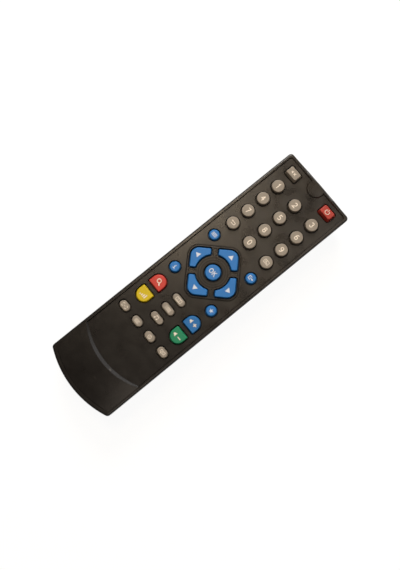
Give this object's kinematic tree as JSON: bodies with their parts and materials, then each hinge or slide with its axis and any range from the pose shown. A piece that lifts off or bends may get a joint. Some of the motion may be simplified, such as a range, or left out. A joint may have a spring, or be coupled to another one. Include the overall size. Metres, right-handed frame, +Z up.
{
  "type": "satellite receiver remote control",
  "caption": "Flat handheld remote control: two-part casing with a sunken key panel, number, navigation and coloured keys, circuit board, infrared diode and battery bay with a sliding door.",
  "frame": {"origin": "on the surface that the remote lies on, under the middle of its bounding box", "axes": "+Y along the remote to the end with the infrared diode, +X to the right as the keys are read, +Z up out of the key side"},
  "size_m": [0.047, 0.168, 0.0218],
  "materials": {
    "casing": "fine satin grain, warm charcoal",
    "grey_keys": "satin, warm grey",
    "blue_keys": "satin blue",
    "red_keys": "satin red",
    "yellow_key": "satin yellow",
    "green_key": "satin green",
    "legend": "printed ink, off-white",
    "mat": "matt silicone sheet",
    "board": "solder mask over phenolic board",
    "chip": "moulded black",
    "resonator": "dipped orange",
    "capacitor": "sleeved can",
    "resistors": "lacquered",
    "diode": "tinted clear resin",
    "steel": "nickel plated",
    "cells": "plain sleeve"
  },
  "bodies": {
    "casing": {"top_cover": "casing", "bottom_cover": "casing", "circuit_board": "board", "key_mat": "mat", "ir_diode": "diode", "controller_chip": "chip", "resonator": "resonator", "capacitor": "capacitor", "resistors": "resistors", "transistor": "chip", "case_screws": "steel", "battery_link": "steel", "positive_contact": "steel", "negative_contact": "steel", "left_cell": "cells", "right_cell": "cells"},
    "door": {"battery_door": "casing"},
    "mute_key_body": {"mute_key": "grey_keys"},
    "key_1_body": {"key_1": "grey_keys"},
    "key_2_body": {"key_2": "grey_keys"},
    "key_3_body": {"key_3": "grey_keys"},
    "key_4_body": {"key_4": "grey_keys"},
    "key_5_body": {"key_5": "grey_keys"},
    "key_6_body": {"key_6": "grey_keys"},
    "key_7_body": {"key_7": "grey_keys"},
    "key_8_body": {"key_8": "grey_keys"},
    "key_9_body": {"key_9": "grey_keys"},
    "recall_key_body": {"recall_key": "grey_keys"},
    "key_0_body": {"key_0": "grey_keys"},
    "subtitle_key_body": {"subtitle_key": "grey_keys"},
    "guide_key_body": {"guide_key": "grey_keys"},
    "list_key_body": {"list_key": "grey_keys"},
    "audio_key_body": {"audio_key": "grey_keys"},
    "zoom_key_body": {"zoom_key": "grey_keys"},
    "text_key_body": {"text_key": "grey_keys"},
    "timer_key_body": {"timer_key": "grey_keys"},
    "language_key_body": {"language_key": "grey_keys"},
    "menu_key_body": {"menu_key": "blue_keys"},
    "exit_key_body": {"exit_key": "blue_keys"},
    "info_key_body": {"info_key": "blue_keys"},
    "favourites_key_body": {"favourites_key": "blue_keys"},
    "up_key_body": {"up_key": "blue_keys"},
    "down_key_body": {"down_key": "blue_keys"},
    "left_key_body": {"left_key": "blue_keys"},
    "right_key_body": {"right_key": "blue_keys"},
    "ok_key_body": {"ok_key": "blue_keys"},
    "volume_up_key_body": {"volume_up_key": "blue_keys"},
    "power_key_body": {"power_key": "red_keys"},
    "search_key_body": {"search_key": "red_keys"},
    "scan_key_body": {"scan_key": "yellow_key"},
    "volume_down_key_body": {"volume_down_key": "green_key"}
  },
  "joints": [
    {"name": "battery_door_slide", "type": "slide", "parent": "casing", "child": "door", "axis": [0, -1, 0], "range_m": [0, 0.055]},
    {"name": "mute_key_press", "type": "slide", "parent": "casing", "child": "mute_key_body", "axis": [0, 0, -1], "range_m": [0, 0.0009], "stiffness_N_per_m": 900},
    {"name": "key_1_press", "type": "slide", "parent": "casing", "child": "key_1_body", "axis": [0, 0, -1], "range_m": [0, 0.0009], "stiffness_N_per_m": 900},
    {"name": "key_2_press", "type": "slide", "parent": "casing", "child": "key_2_body", "axis": [0, 0, -1], "range_m": [0, 0.0009], "stiffness_N_per_m": 900},
    {"name": "key_3_press", "type": "slide", "parent": "casing", "child": "key_3_body", "axis": [0, 0, -1], "range_m": [0, 0.0009], "stiffness_N_per_m": 900},
    {"name": "key_4_press", "type": "slide", "parent": "casing", "child": "key_4_body", "axis": [0, 0, -1], "range_m": [0, 0.0009], "stiffness_N_per_m": 900},
    {"name": "key_5_press", "type": "slide", "parent": "casing", "child": "key_5_body", "axis": [0, 0, -1], "range_m": [0, 0.0009], "stiffness_N_per_m": 900},
    {"name": "key_6_press", "type": "slide", "parent": "casing", "child": "key_6_body", "axis": [0, 0, -1], "range_m": [0, 0.0009], "stiffness_N_per_m": 900},
    {"name": "key_7_press", "type": "slide", "parent": "casing", "child": "key_7_body", "axis": [0, 0, -1], "range_m": [0, 0.0009], "stiffness_N_per_m": 900},
    {"name": "key_8_press", "type": "slide", "parent": "casing", "child": "key_8_body", "axis": [0, 0, -1], "range_m": [0, 0.0009], "stiffness_N_per_m": 900},
    {"name": "key_9_press", "type": "slide", "parent": "casing", "child": "key_9_body", "axis": [0, 0, -1], "range_m": [0, 0.0009], "stiffness_N_per_m": 900},
    {"name": "recall_key_press", "type": "slide", "parent": "casing", "child": "recall_key_body", "axis": [0, 0, -1], "range_m": [0, 0.0009], "stiffness_N_per_m": 900},
    {"name": "key_0_press", "type": "slide", "parent": "casing", "child": "key_0_body", "axis": [0, 0, -1], "range_m": [0, 0.0009], "stiffness_N_per_m": 900},
    {"name": "subtitle_key_press", "type": "slide", "parent": "casing", "child": "subtitle_key_body", "axis": [0, 0, -1], "range_m": [0, 0.0009], "stiffness_N_per_m": 900},
    {"name": "guide_key_press", "type": "slide", "parent": "casing", "child": "guide_key_body", "axis": [0, 0, -1], "range_m": [0, 0.0009], "stiffness_N_per_m": 900},
    {"name": "list_key_press", "type": "slide", "parent": "casing", "child": "list_key_body", "axis": [0, 0, -1], "range_m": [0, 0.0009], "stiffness_N_per_m": 900},
    {"name": "audio_key_press", "type": "slide", "parent": "casing", "child": "audio_key_body", "axis": [0, 0, -1], "range_m": [0, 0.0009], "stiffness_N_per_m": 900},
    {"name": "zoom_key_press", "type": "slide", "parent": "casing", "child": "zoom_key_body", "axis": [0, 0, -1], "range_m": [0, 0.0009], "stiffness_N_per_m": 900},
    {"name": "text_key_press", "type": "slide", "parent": "casing", "child": "text_key_body", "axis": [0, 0, -1], "range_m": [0, 0.0009], "stiffness_N_per_m": 900},
    {"name": "timer_key_press", "type": "slide", "parent": "casing", "child": "timer_key_body", "axis": [0, 0, -1], "range_m": [0, 0.0009], "stiffness_N_per_m": 900},
    {"name": "language_key_press", "type": "slide", "parent": "casing", "child": "language_key_body", "axis": [0, 0, -1], "range_m": [0, 0.0009], "stiffness_N_per_m": 900},
    {"name": "menu_key_press", "type": "slide", "parent": "casing", "child": "menu_key_body", "axis": [0, 0, -1], "range_m": [0, 0.0009], "stiffness_N_per_m": 900},
    {"name": "exit_key_press", "type": "slide", "parent": "casing", "child": "exit_key_body", "axis": [0, 0, -1], "range_m": [0, 0.0009], "stiffness_N_per_m": 900},
    {"name": "info_key_press", "type": "slide", "parent": "casing", "child": "info_key_body", "axis": [0, 0, -1], "range_m": [0, 0.0009], "stiffness_N_per_m": 900},
    {"name": "favourites_key_press", "type": "slide", "parent": "casing", "child": "favourites_key_body", "axis": [0, 0, -1], "range_m": [0, 0.0009], "stiffness_N_per_m": 900},
    {"name": "up_key_press", "type": "slide", "parent": "casing", "child": "up_key_body", "axis": [0, 0, -1], "range_m": [0, 0.0009], "stiffness_N_per_m": 900},
    {"name": "down_key_press", "type": "slide", "parent": "casing", "child": "down_key_body", "axis": [0, 0, -1], "range_m": [0, 0.0009], "stiffness_N_per_m": 900},
    {"name": "left_key_press", "type": "slide", "parent": "casing", "child": "left_key_body", "axis": [0, 0, -1], "range_m": [0, 0.0009], "stiffness_N_per_m": 900},
    {"name": "right_key_press", "type": "slide", "parent": "casing", "child": "right_key_body", "axis": [0, 0, -1], "range_m": [0, 0.0009], "stiffness_N_per_m": 900},
    {"name": "ok_key_press", "type": "slide", "parent": "casing", "child": "ok_key_body", "axis": [0, 0, -1], "range_m": [0, 0.0009], "stiffness_N_per_m": 900},
    {"name": "volume_up_key_press", "type": "slide", "parent": "casing", "child": "volume_up_key_body", "axis": [0, 0, -1], "range_m": [0, 0.0009], "stiffness_N_per_m": 900},
    {"name": "power_key_press", "type": "slide", "parent": "casing", "child": "power_key_body", "axis": [0, 0, -1], "range_m": [0, 0.0009], "stiffness_N_per_m": 900},
    {"name": "search_key_press", "type": "slide", "parent": "casing", "child": "search_key_body", "axis": [0, 0, -1], "range_m": [0, 0.0009], "stiffness_N_per_m": 900},
    {"name": "scan_key_press", "type": "slide", "parent": "casing", "child": "scan_key_body", "axis": [0, 0, -1], "range_m": [0, 0.0009], "stiffness_N_per_m": 900},
    {"name": "volume_down_key_press", "type": "slide", "parent": "casing", "child": "volume_down_key_body", "axis": [0, 0, -1], "range_m": [0, 0.0009], "stiffness_N_per_m": 900}
  ]
}
